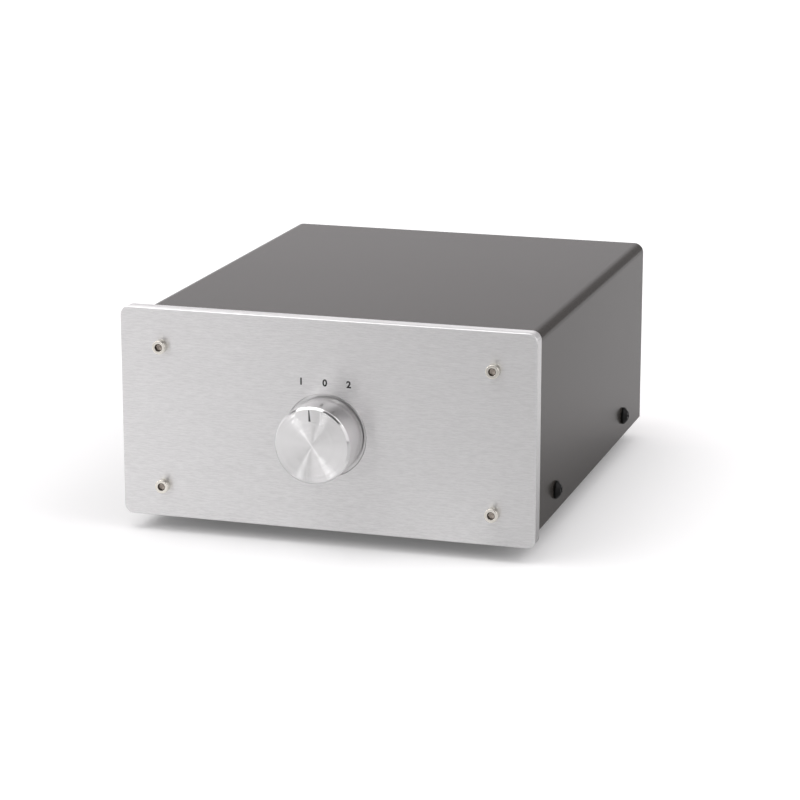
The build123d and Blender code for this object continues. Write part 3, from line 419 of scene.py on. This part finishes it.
def light_ink():
    """Pale screen printing for the dark case."""
    f = Finish("light_ink")
    cover = f.noise(9000, 2.0)
    return f.shade(
        base_color=f.mix(cover.ramp(0.55, 0.75), grey(0.78, 0.01), grey(0.60, 0.02)),
        roughness=cover * 0.2 + 0.40,
        normal=f.bump(cover, 3e-6),
    )


FINISHES = {
    "front_panel": brushed_aluminium(),
    "cover": case_paint("cover_paint", 0.033),
    "pan": case_paint("pan_paint", 0.030),
    "nickel": plated("nickel_plate", (0.84, 0.81, 0.73, 1), (0.93, 0.90, 0.83, 1), 0.12, 0.06),
    "zinc": bright_steel("zinc_plate", 0.62, -0.02, 0.34),
    "black_screw": black_oxide(),
    "knob": turned_aluminium(),
    "rubber": foot_rubber(),
    "shaft": bright_steel("ground_steel", 0.60, 0.0, 0.24),
    "spring": bright_steel("spring_wire", 0.48, 0.0, 0.30),
    "die_cast": cast_alloy(),
    "acetal": moulded("acetal", grey(0.66, 0.03), grey(0.74, 0.02), 0.40),
    "laminate": laminate(),
    "silvered": plated("silver_plate", (0.60, 0.57, 0.50, 1), (0.74, 0.72, 0.67, 1), 0.28),
    "gold": plated("gold_plate", (0.78, 0.52, 0.17, 1), (0.90, 0.64, 0.26, 1), 0.20),
    "red_plastic": moulded("red_plastic", (0.42, 0.008, 0.010, 1), (0.55, 0.016, 0.014, 1)),
    "black_plastic": moulded("black_plastic", grey(0.012), grey(0.024)),
    "red_wire": moulded("red_insulation", (0.44, 0.012, 0.012, 1), (0.52, 0.02, 0.018, 1), 0.42),
    "black_wire": moulded("black_insulation", grey(0.014), grey(0.03), 0.42),
    "nylon": moulded("nylon", grey(0.62, 0.04), grey(0.70, 0.03), 0.36),
}
for part in frame["record"]["subparts"]:
    for slot in frame["nodes"][part["node"]].material_slots:
        slot.material = FINISHES[part["material_slot"]]


# ---------------------------------------------------------------- lights, floor and background
def broad_lamp(name, towards, level, spread):
    """A distant soft lamp: the direction it stands in, its level on the floor, and how wide it is."""
    direction = Vector(towards).normalized()
    light = bpy.data.lights.new(name, "SUN")
    light.angle = radians(spread)
    light.energy = level * pi / direction.z
    lamp = bpy.data.objects.new(name, light)
    bpy.context.scene.collection.objects.link(lamp)
    lamp.rotation_euler = direction.to_track_quat("Z", "Y").to_euler()


broad_lamp("lamp_left", (-0.36, -0.23, 0.90), 0.27, 54)
broad_lamp("lamp_right", (0.70, 0.12, 0.70), 0.14, 48)
broad_lamp("lamp_front_left", (-0.60, -0.79, 0.14), 0.0045, 9)
broad_lamp("lamp_front", (-0.10, -0.97, 0.22), 0.007, 7)


def studio():
    """A room described by direction: X to the right, Y to the back and Z up, each from -1 to 1.

    It has a white wall that is highest behind the object, a bright patch on each side and a low
    one in front on the right, and a pale ceiling towards the back. The rest is dim.
    """
    world = bpy.data.worlds.new("studio")
    bpy.context.scene.world = world
    room = Tree(world, GENERATED)
    top_of_wall = room.y.ramp(-0.5, 0.5, -0.02, 0.45)
    wall = (room.z - top_of_wall).ramp(0.0, 0.06, 1.0, 0.0) * room.x.ramp(-0.10, 0.12, 1.0, 0.45)
    wall = wall * room.x.ramp(-0.36, -0.20, 1.0, 0.93)
    left = room.x.ramp(-0.37, -0.26, 0.92, 0.0) * room.z.ramp(0.3, 0.7, 1.0, 0.0)
    right = room.x.ramp(0.60, 0.72, 0.0, 0.92) * room.z.ramp(0.54, 0.62, 1.0, 0.0)
    ceiling = room.z.ramp(0.60, 0.75, 0.0, 0.86) * room.y.ramp(-0.40, -0.10, 0.0, 1.0)
    front = room.y.ramp(-0.5, -0.3, 0.92, 0.0)
    front = front * room.x.ramp(0.28, 0.36) * room.z.ramp(0.34, 0.48, 1.0, 0.0)
    dim = room.z.ramp(0.1, 0.5, 0.04, 0.14)
    level = wall.larger(front.larger(left.larger(right)).larger(ceiling)) + dim
    # The camera itself sees plain white behind everything.
    camera_ray = room.add("LightPath")[CAMERA_RAY]
    level = (level * (1.0 - camera_ray)).larger(camera_ray)
    tint = room.mix(camera_ray, (1.0, 0.972, 0.99, 1.0), grey(1.0))
    background = room.add("Background", {"Color": tint, "Strength": level})[0]
    room.add("OutputWorld", {"Surface": background})


# The floor's colour, what it adds for the camera and in reflections, and how much less it adds beneath
# the case, which is a painted shadow.
FLOOR_TONE = 0.84
FLOOR_GLOW = 0.26
REFLECTED_GLOW = 0.10
UNDER_PAINTED_SHADOW = 0.14


def floor():
    """A white floor that keeps the object's shadow, with painted shade in reflections and beneath the
    case.
    """
    bpy.ops.mesh.primitive_plane_add(size=14)
    ground = bpy.context.object
    ground.name = "floor"
    f = Finish("floor_white")
    path = f.add("LightPath")
    camera_ray, glossy_ray = path[CAMERA_RAY], path[GLOSSY_RAY]
    reflected = glossy_ray.larger(path[TRANSMISSION_RAY])
    # Painted shade seen only in reflections: the floor darkens away from the panel and to its right,
    # and close to the side it is a painted shadow.
    in_front = f.y.ramp(-0.17, -0.11, 1.0, 0.0)
    far = f.y.ramp(-0.52, -0.14, 0.30, 0.0)
    to_the_right = f.x.ramp(-0.24, 0.06, 0.0, 0.30)
    painted_falloff = in_front * (far + to_the_right)
    painted_shadow_beside = f.x.ramp(0.05, 0.07) * (f.x + f.y * 0.5).ramp(0.09, 0.17, 1.0, 0.0)
    painted_shadow_beside = painted_shadow_beside * (1.0 - in_front)
    reflected_painted_light = 1.0 - glossy_ray * (painted_falloff + painted_shadow_beside * 0.20)
    tone = f.mix(reflected_painted_light, grey(0.0), grey(FLOOR_TONE))
    diffuse = f.add("BsdfDiffuse", {"Color": tone})[0]
    # Beneath the case the camera sees less glow: a painted shadow.
    painted_shadow_under = f.y.ramp(FRONT - 0.006, FRONT + 0.012) * abs(f.x).ramp(0.074, 0.090, 1.0, 0.0)
    painted_shadow_under = painted_shadow_under * f.y.ramp(REAR - 0.012, REAR + 0.006, 1.0, 0.0)
    strength = camera_ray * (FLOOR_GLOW - painted_shadow_under * UNDER_PAINTED_SHADOW)
    # Close to the side the glow in reflections is taken away as well, for the same painted shadow.
    strength = strength + reflected * reflected_painted_light * (REFLECTED_GLOW - painted_shadow_beside * REFLECTED_GLOW)
    glow = f.add("Emission", {"Strength": strength})[0]
    both = f.add("AddShader", {0: diffuse, 1: glow})[0]
    f.add("OutputMaterial", {"Surface": both})
    ground.data.materials.append(f.material)
    ground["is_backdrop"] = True


studio()
floor()
bpy.context.scene.view_settings.view_transform = "Standard"


# ---------------------------------------------------------------- modelling tools
# Edges sharper than the first angle are rounded, and faces that meet flatter than the second
# are shaded as one.
SHARP = radians(30)
FLAT = radians(35)


def pick(piece):
    """Makes a piece the only one selected, and the active one."""
    bpy.ops.object.select_all(action="DESELECT")
    piece.select_set(True)
    bpy.context.view_layer.objects.active = piece


def start_edit(name):
    """Takes the new primitive by itself into edit mode, all selected."""
    piece = bpy.context.object
    piece.name = piece.data.name = name
    bpy.ops.object.mode_set(mode="EDIT")
    bpy.ops.mesh.select_all(action="SELECT")
    return piece


def end_edit():
    """Ends the edit: seams merged and normals outwards."""
    bpy.ops.mesh.select_all(action="SELECT")
    bpy.ops.mesh.remove_doubles(threshold=0.002 * MM)
    bpy.ops.mesh.normals_make_consistent(inside=False)
    bpy.ops.object.mode_set(mode="OBJECT")


def turned(name, profile, sides):
    """A turned piece about Z, from its profile's radii and heights in millimetres.

    A profile that ends where it starts makes a ring. Any other is closed by flat ends.
    """
    bpy.ops.object.select_all(action="DESELECT")
    radius, height = profile[0]
    bpy.ops.mesh.primitive_circle_add(vertices=sides, radius=radius * MM)
    piece = start_edit(name)
    bpy.ops.transform.translate(value=(0, 0, height * MM))
    for next_radius, next_height in profile[1:]:
        rise = (next_height - height) * MM
        bpy.ops.mesh.extrude_region_move(TRANSFORM_OT_translate={"value": (0, 0, rise)})
        grow = next_radius / radius
        bpy.ops.transform.resize(value=(grow, grow, 1), center_override=(0, 0, 0))
        radius, height = next_radius, next_height
    if profile[0] != profile[-1]:
        bpy.ops.mesh.select_all(action="SELECT")
        bpy.ops.mesh.fill_holes(sides=0)
    end_edit()
    return piece


def rounded(first, last, radius, at, steps=6):
    """Points of a profile's round corner, about its centre, between two angles in degrees."""
    points = []
    for step in range(steps + 1):
        angle = radians(first + (last - first) * step / steps)
        points.append((at[0] + radius * cos(angle), at[1] + radius * sin(angle)))
    return points


def place(piece, at, towards=UPWARD, spin=0.0):
    """Spins a piece about its Z, turns its Z this way, moves it, and keeps that in its mesh."""
    pick(piece)
    turn = towards.to_track_quat("Z", "Y").to_matrix().to_4x4()
    turn = turn @ Matrix.Rotation(radians(spin), 4, "Z")
    piece.matrix_world = Matrix.Translation(at) @ turn
    bpy.ops.object.transform_apply(location=True, rotation=True, scale=True)


def twin(piece, name):
    """A copy with a mesh of its own."""
    copy = piece.copy()
    copy.data = piece.data.copy()
    copy.name = copy.data.name = name
    bpy.context.scene.collection.objects.link(copy)
    return copy


def cut(piece, cutter):
    """Takes the cutter's shape out of the piece, and removes the cutter."""
    difference = piece.modifiers.new("cut", "BOOLEAN")
    difference.operation = "DIFFERENCE"
    difference.solver = "EXACT"
    difference.object = cutter
    apply_last(piece)
    bpy.data.objects.remove(cutter)


def soften(piece, width):
    """Rounds every sharp edge by this width in millimetres."""
    bevel = piece.modifiers.new("soften", "BEVEL")
    bevel.width = width * MM
    bevel.segments = 2
    bevel.limit_method = "ANGLE"
    bevel.angle_limit = SHARP
    bevel.use_clamp_overlap = True
    apply_last(piece)


def apply_last(piece):
    """Applies the modifier that was added last."""
    pick(piece)
    bpy.ops.object.modifier_apply(modifier=piece.modifiers[-1].name)


def smooth(piece):
    """Shades round forms smoothly and keeps sharp edges."""
    pick(piece)
    bpy.ops.object.shade_smooth_by_angle(angle=FLAT)


def finish_piece(piece, body, nodes, slot):
    """Gives a piece its finish and body, and hides the nodes that it stands for."""
    smooth(piece)
    piece.data.materials.clear()
    piece.data.materials.append(FINISHES[slot])
    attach(piece, body)
    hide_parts(*nodes)


def block(name, size, at, end, narrow):
    """A bar, in millimetres, that is narrower by these factors at one end, such as (1, 0, 0)."""
    bpy.ops.object.select_all(action="DESELECT")
    bpy.ops.mesh.primitive_cube_add(size=1)
    piece = start_edit(name)
    middle = Vector(at) * MM
    bpy.ops.transform.resize(value=[side * MM for side in size], center_override=(0, 0, 0))
    bpy.ops.transform.translate(value=middle)
    mesh = bmesh.from_edit_mesh(piece.data)
    for vert in mesh.verts:
        vert.select = (vert.co - middle).dot(Vector(end)) > 0
    mesh.select_flush(False)
    bpy.ops.transform.resize(value=narrow, center_override=middle)
    end_edit()
    return piece


# ---------------------------------------------------------------- the knob
def knob():
    """Turned from solid bar: a flat spun face, a polished rim, and a hollow back with a bore."""
    reach = (FRONT - KNOB_FACE) / MM
    back = (FRONT - knob_high.y) / MM
    radius = (knob_high.x - knob_low.x) / 2 / MM
    bore, bore_end = 3.05, reach - 2.2
    hollow, hollow_end = 9.2, 4.2
    chamfer = 0.9
    piece = turned(
        "knob",
        [
            (bore, bore_end),
            (bore, hollow_end),
            (hollow, hollow_end),
            (hollow, back),
            (radius - 0.3, back),
            (radius, back + 0.3),
            (radius, reach - chamfer),
            (radius - chamfer, reach),
        ],
        sides=128,
    )
    grub_hole = turned("grub_hole", [(1.55, -radius - 1), (1.55, -2.0)], sides=32)
    grub_depth = FRONT - (grub_low.y + grub_high.y) / 2
    place(grub_hole, (0, 0, grub_depth), BACKWARD)
    cut(piece, grub_hole)
    index_middle = radius - 3.4
    cut(piece, index_bar("groove", (4.5, 0.92, 2.0), index_middle, reach + 0.65))
    soften(piece, 0.07)
    place(piece, (0, FRONT, KNOB_Z), FORWARD)
    finish_piece(piece, "dial", ["control_knob"], "knob")

    paint = index_bar("index_paint", (4.4, 0.86, 0.1), index_middle, reach - 0.29)
    soften(paint, 0.03)
    place(paint, (0, FRONT, KNOB_Z), FORWARD)
    smooth(paint)
    paint.data.materials.append(index_paint())
    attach(paint, "dial")


def index_bar(name, size, radius, height):
    """A bar along the knob's radius, close to upright, that narrows outwards."""
    bar = block(name, size, (radius, 0, height), (1, 0, 0), (1, 0.42, 1))
    place(bar, (0, 0, 0), UPWARD, -86)
    return bar


# ---------------------------------------------------------------- screws
SHADED_SOCKET_METAL = shaded_socket_metal()
# The heads' radii in the solids, in millimetres.
PANEL_SCREW_RADIUS = 2.75
COVER_SCREW_RADIUS = 3.7


def socket_screws():
    """Cap-head socket screws: turned heads with a hexagonal socket that has a drilled floor."""
    first = turned(
        "panel_screw",
        [(1.2, -12.0), (1.5, -11.7), (1.5, 0.0), (2.6, 0.0), (PANEL_SCREW_RADIUS, 0.15)]
        + rounded(0, 90, 0.28, (2.47, 2.72))
        + [(1.60, 3.0), (1.24, 2.72), (1.20, 2.5)],
        sides=72,
    )
    hexagon = turned(
        "socket", [(0.15, 1.25), (1.10, 1.62), (1.45, 1.70), (1.45, 3.2)], sides=6
    )
    cut(first, hexagon)
    soften(first, 0.04)
    across = (screws_high.x - screws_low.x) / 2 - PANEL_SCREW_RADIUS * MM
    up = (screws_high.z - screws_low.z) / 2 - PANEL_SCREW_RADIUS * MM
    middle = (screws_low.z + screws_high.z) / 2
    # The faces inside the socket lie within its mouth and between these heights.
    mouth, lowest, highest = 1.56 * MM, 0.5 * MM, 2.98 * MM
    for row, side_of in ((1, "upper"), (-1, "lower")):
        for column, hand in ((-1, "left"), (1, "right")):
            screw = twin(first, f"panel_screw_{side_of}_{hand}")
            at = (column * across, FRONT, middle + row * up)
            inside = [
                face.index
                for face in screw.data.polygons
                if face.center.xy.length < mouth and lowest < face.center.z < highest
            ]
            place(screw, at, FORWARD, 17 * column + 41 * row)
            finish_piece(screw, "case", ["front_panel_screws"], "nickel")
            # The inside of the socket takes the finish with painted shade on its sides.
            screw.data.materials.append(SHADED_SOCKET_METAL)
            for face in inside:
                screw.data.polygons[face].material_index = 1
    bpy.data.objects.remove(first)


def domed_screws():
    """Black domed screws with a cross recess, two on each side of the cover."""
    first = turned(
        "cover_screw",
        [(1.4, -8.0), (1.75, -7.6), (1.75, 0.0), (3.56, 0.0), (3.66, 0.1)]
        + rounded(0, 50, 0.5, (3.16, 0.72), 4)
        + rounded(50, 90, 0.8, (1.55, 1.70), 4),
        sides=72,
    )
    for name, size in (("slot_long", (3.6, 0.95, 1.8)), ("slot_cross", (0.95, 3.6, 1.8))):
        cut(first, block(name, size, (0, 0, 2.05), (0, 0, -1), (0.62, 0.62, 1)))
    soften(first, 0.05)
    depths = (side_low.y + COVER_SCREW_RADIUS * MM, side_high.y - COVER_SCREW_RADIUS * MM)
    height = (side_low.z + side_high.z) / 2
    for side, hand in ((-1, "left"), (1, "right")):
        for number, depth in enumerate(depths, 1):
            screw = twin(first, f"cover_screw_{hand}_{number}")
            at = (side * cover_high.x, depth, height)
            place(screw, at, Vector((side, 0, 0)), 38 * number)
            finish_piece(screw, "case", ["cover_screws"], "black_screw")
    bpy.data.objects.remove(first)


# ---------------------------------------------------------------- feet
# In millimetres, as in the solids.
FOOT_RADIUS = 8


def feet():
    """Moulded rubber feet with a rounded tread and a pocket for the screw's head."""
    height = feet_high.z / MM
    profile = (
        [(1.6, height), (1.6, 4.0), (3.0, 4.0), (3.0, 0.25), (3.25, 0.0)]
        + rounded(270, 360, 0.9, (6.12, 0.9))
        + [(7.94, height - 0.25), (7.75, height), (1.6, height)]
    )
    first = turned("foot", profile, sides=64)
    across = feet_high.x - FOOT_RADIUS * MM
    front, rear = feet_low.y + FOOT_RADIUS * MM, feet_high.y - FOOT_RADIUS * MM
    for side, hand in ((-1, "left"), (1, "right")):
        for depth, end in ((front, "front"), (rear, "rear")):
            foot = twin(first, f"foot_{end}_{hand}")
            place(foot, (side * across, depth, 0))
            finish_piece(foot, "case", ["rubber_feet"], "rubber")
    bpy.data.objects.remove(first)


# ---------------------------------------------------------------- the screw caps of the posts
CAP_FLUTES = 16
SIDES_PER_FLUTE = 6
CAP_RADIUS = 6.0
# The rows of vertices in a flute, from its middle out, and how far each is drawn in to the axis.
FLUTE_ROWS = ((0, 0.915), (1, 0.948))


def screw_caps():
    """Fluted caps with a rounded end, a plain collar at the mouth and a bore for the stud."""
    profile = (
        [(3.08, 16.2), (3.08, 2.5), (4.7, 2.5), (4.7, 1.0), (4.25, 1.0), (4.25, 0.1)]
        + [(4.35, 0.0), (5.7, 0.0)]
        + rounded(300, 360, 0.3, (5.7, 0.3), 3)
        + [(CAP_RADIUS, height) for height in (0.9, 1.1, 1.7, 14.2, 14.8, 15.2)]
        + rounded(0, 90, 0.95, (5.05, 15.25))
        + [(3.5, 16.2), (3.35, 16.05), (3.08, 16.05), (3.08, 16.2)]
    )
    first = turned("cap", profile, sides=CAP_FLUTES * SIDES_PER_FLUTE)
    press_flutes(first)
    for node in frame["nodes"]:
        if not node.endswith("_cap"):
            continue
        low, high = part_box(node)
        # The piece and its body have the same name.
        name = node.replace("_cap", "_screw_cap")
        cap = twin(first, name)
        place(cap, ((low.x + high.x) / 2, low.y, (low.z + high.z) / 2), BACKWARD)
        slot = "red_plastic" if "plus" in node else "black_plastic"
        finish_piece(cap, name, [node], slot)
    bpy.data.objects.remove(first)


def press_flutes(piece):
    """Presses lengthwise grips into the cap's outside, a vertex row at a time."""
    pick(piece)
    bpy.ops.object.mode_set(mode="EDIT")
    for row, shrink in FLUTE_ROWS:
        mesh = bmesh.from_edit_mesh(piece.data)
        for face in mesh.faces:
            face.select = False
        for vert in mesh.verts:
            share = atan2(vert.co.y, vert.co.x) * CAP_FLUTES / (2 * pi)
            place_in_flute = round(abs(share - round(share)) * SIDES_PER_FLUTE)
            outside = vert.co.xy.length > (CAP_RADIUS - 0.1) * MM
            in_grip = 1.5 * MM < vert.co.z < 14.5 * MM
            vert.select = outside and in_grip and place_in_flute == row
        mesh.select_flush(False)
        bmesh.update_edit_mesh(piece.data)
        bpy.ops.transform.resize(value=(shrink, shrink, 1), center_override=(0, 0, 0))
    bpy.ops.object.mode_set(mode="OBJECT")


knob()
socket_screws()
domed_screws()
feet()
screw_caps()


# ---------------------------------------------------------------- printing
# Half the thickness of the ink, and the share of a font's size that a capital is high.
HALF_INK = 0.01 * MM
CAPITAL_SHARE = 0.72


def printed(name, words, at, height, turn, finish):
    """Flat printing on a face of the case, with capitals of this height in millimetres."""
    bpy.ops.object.text_add()
    piece = bpy.context.object
    piece.name = name
    piece.data.body = words
    piece.data.align_x = "CENTER"
    piece.data.align_y = "CENTER"
    piece.data.size = height * MM / CAPITAL_SHARE
    piece.data.extrude = HALF_INK
    piece.data.offset = height * MM * 0.05
    bpy.ops.object.convert(target="MESH")
    piece.rotation_euler = turn
    piece.location = at
    bpy.ops.object.transform_apply(location=True, rotation=True, scale=True)
    piece.data.materials.append(finish)
    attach(piece, "case")


INK = printed_ink()
PALE_INK = light_ink()
UPRIGHT = (pi / 2, 0, 0)
TURNED = (pi / 2, 0, pi)
NUMBER_SPACING = 9.75
NUMBER_Z = PANEL_MID + 17.2 * MM
for number, column in (("1", -1), ("0", 0), ("2", 1)):
    spot = (column * NUMBER_SPACING * MM, FRONT - HALF_INK, NUMBER_Z)
    printed(f"number_{number}", number, spot, 2.7, UPRIGHT, INK)
SIGN_X = pan_high.x - 7.5 * MM
for sign, name, collars in (("+", "plus", "post_collars_red"), ("-", "minus", "post_collars_black")):
    low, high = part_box(collars)
    for across, hand in ((SIGN_X, "left"), (-SIGN_X, "right")):
        spot = (across, REAR + HALF_INK, (low.z + high.z) / 2)
        printed(f"sign_{name}_{hand}", sign, spot, 3.2, TURNED, PALE_INK)


low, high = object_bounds()
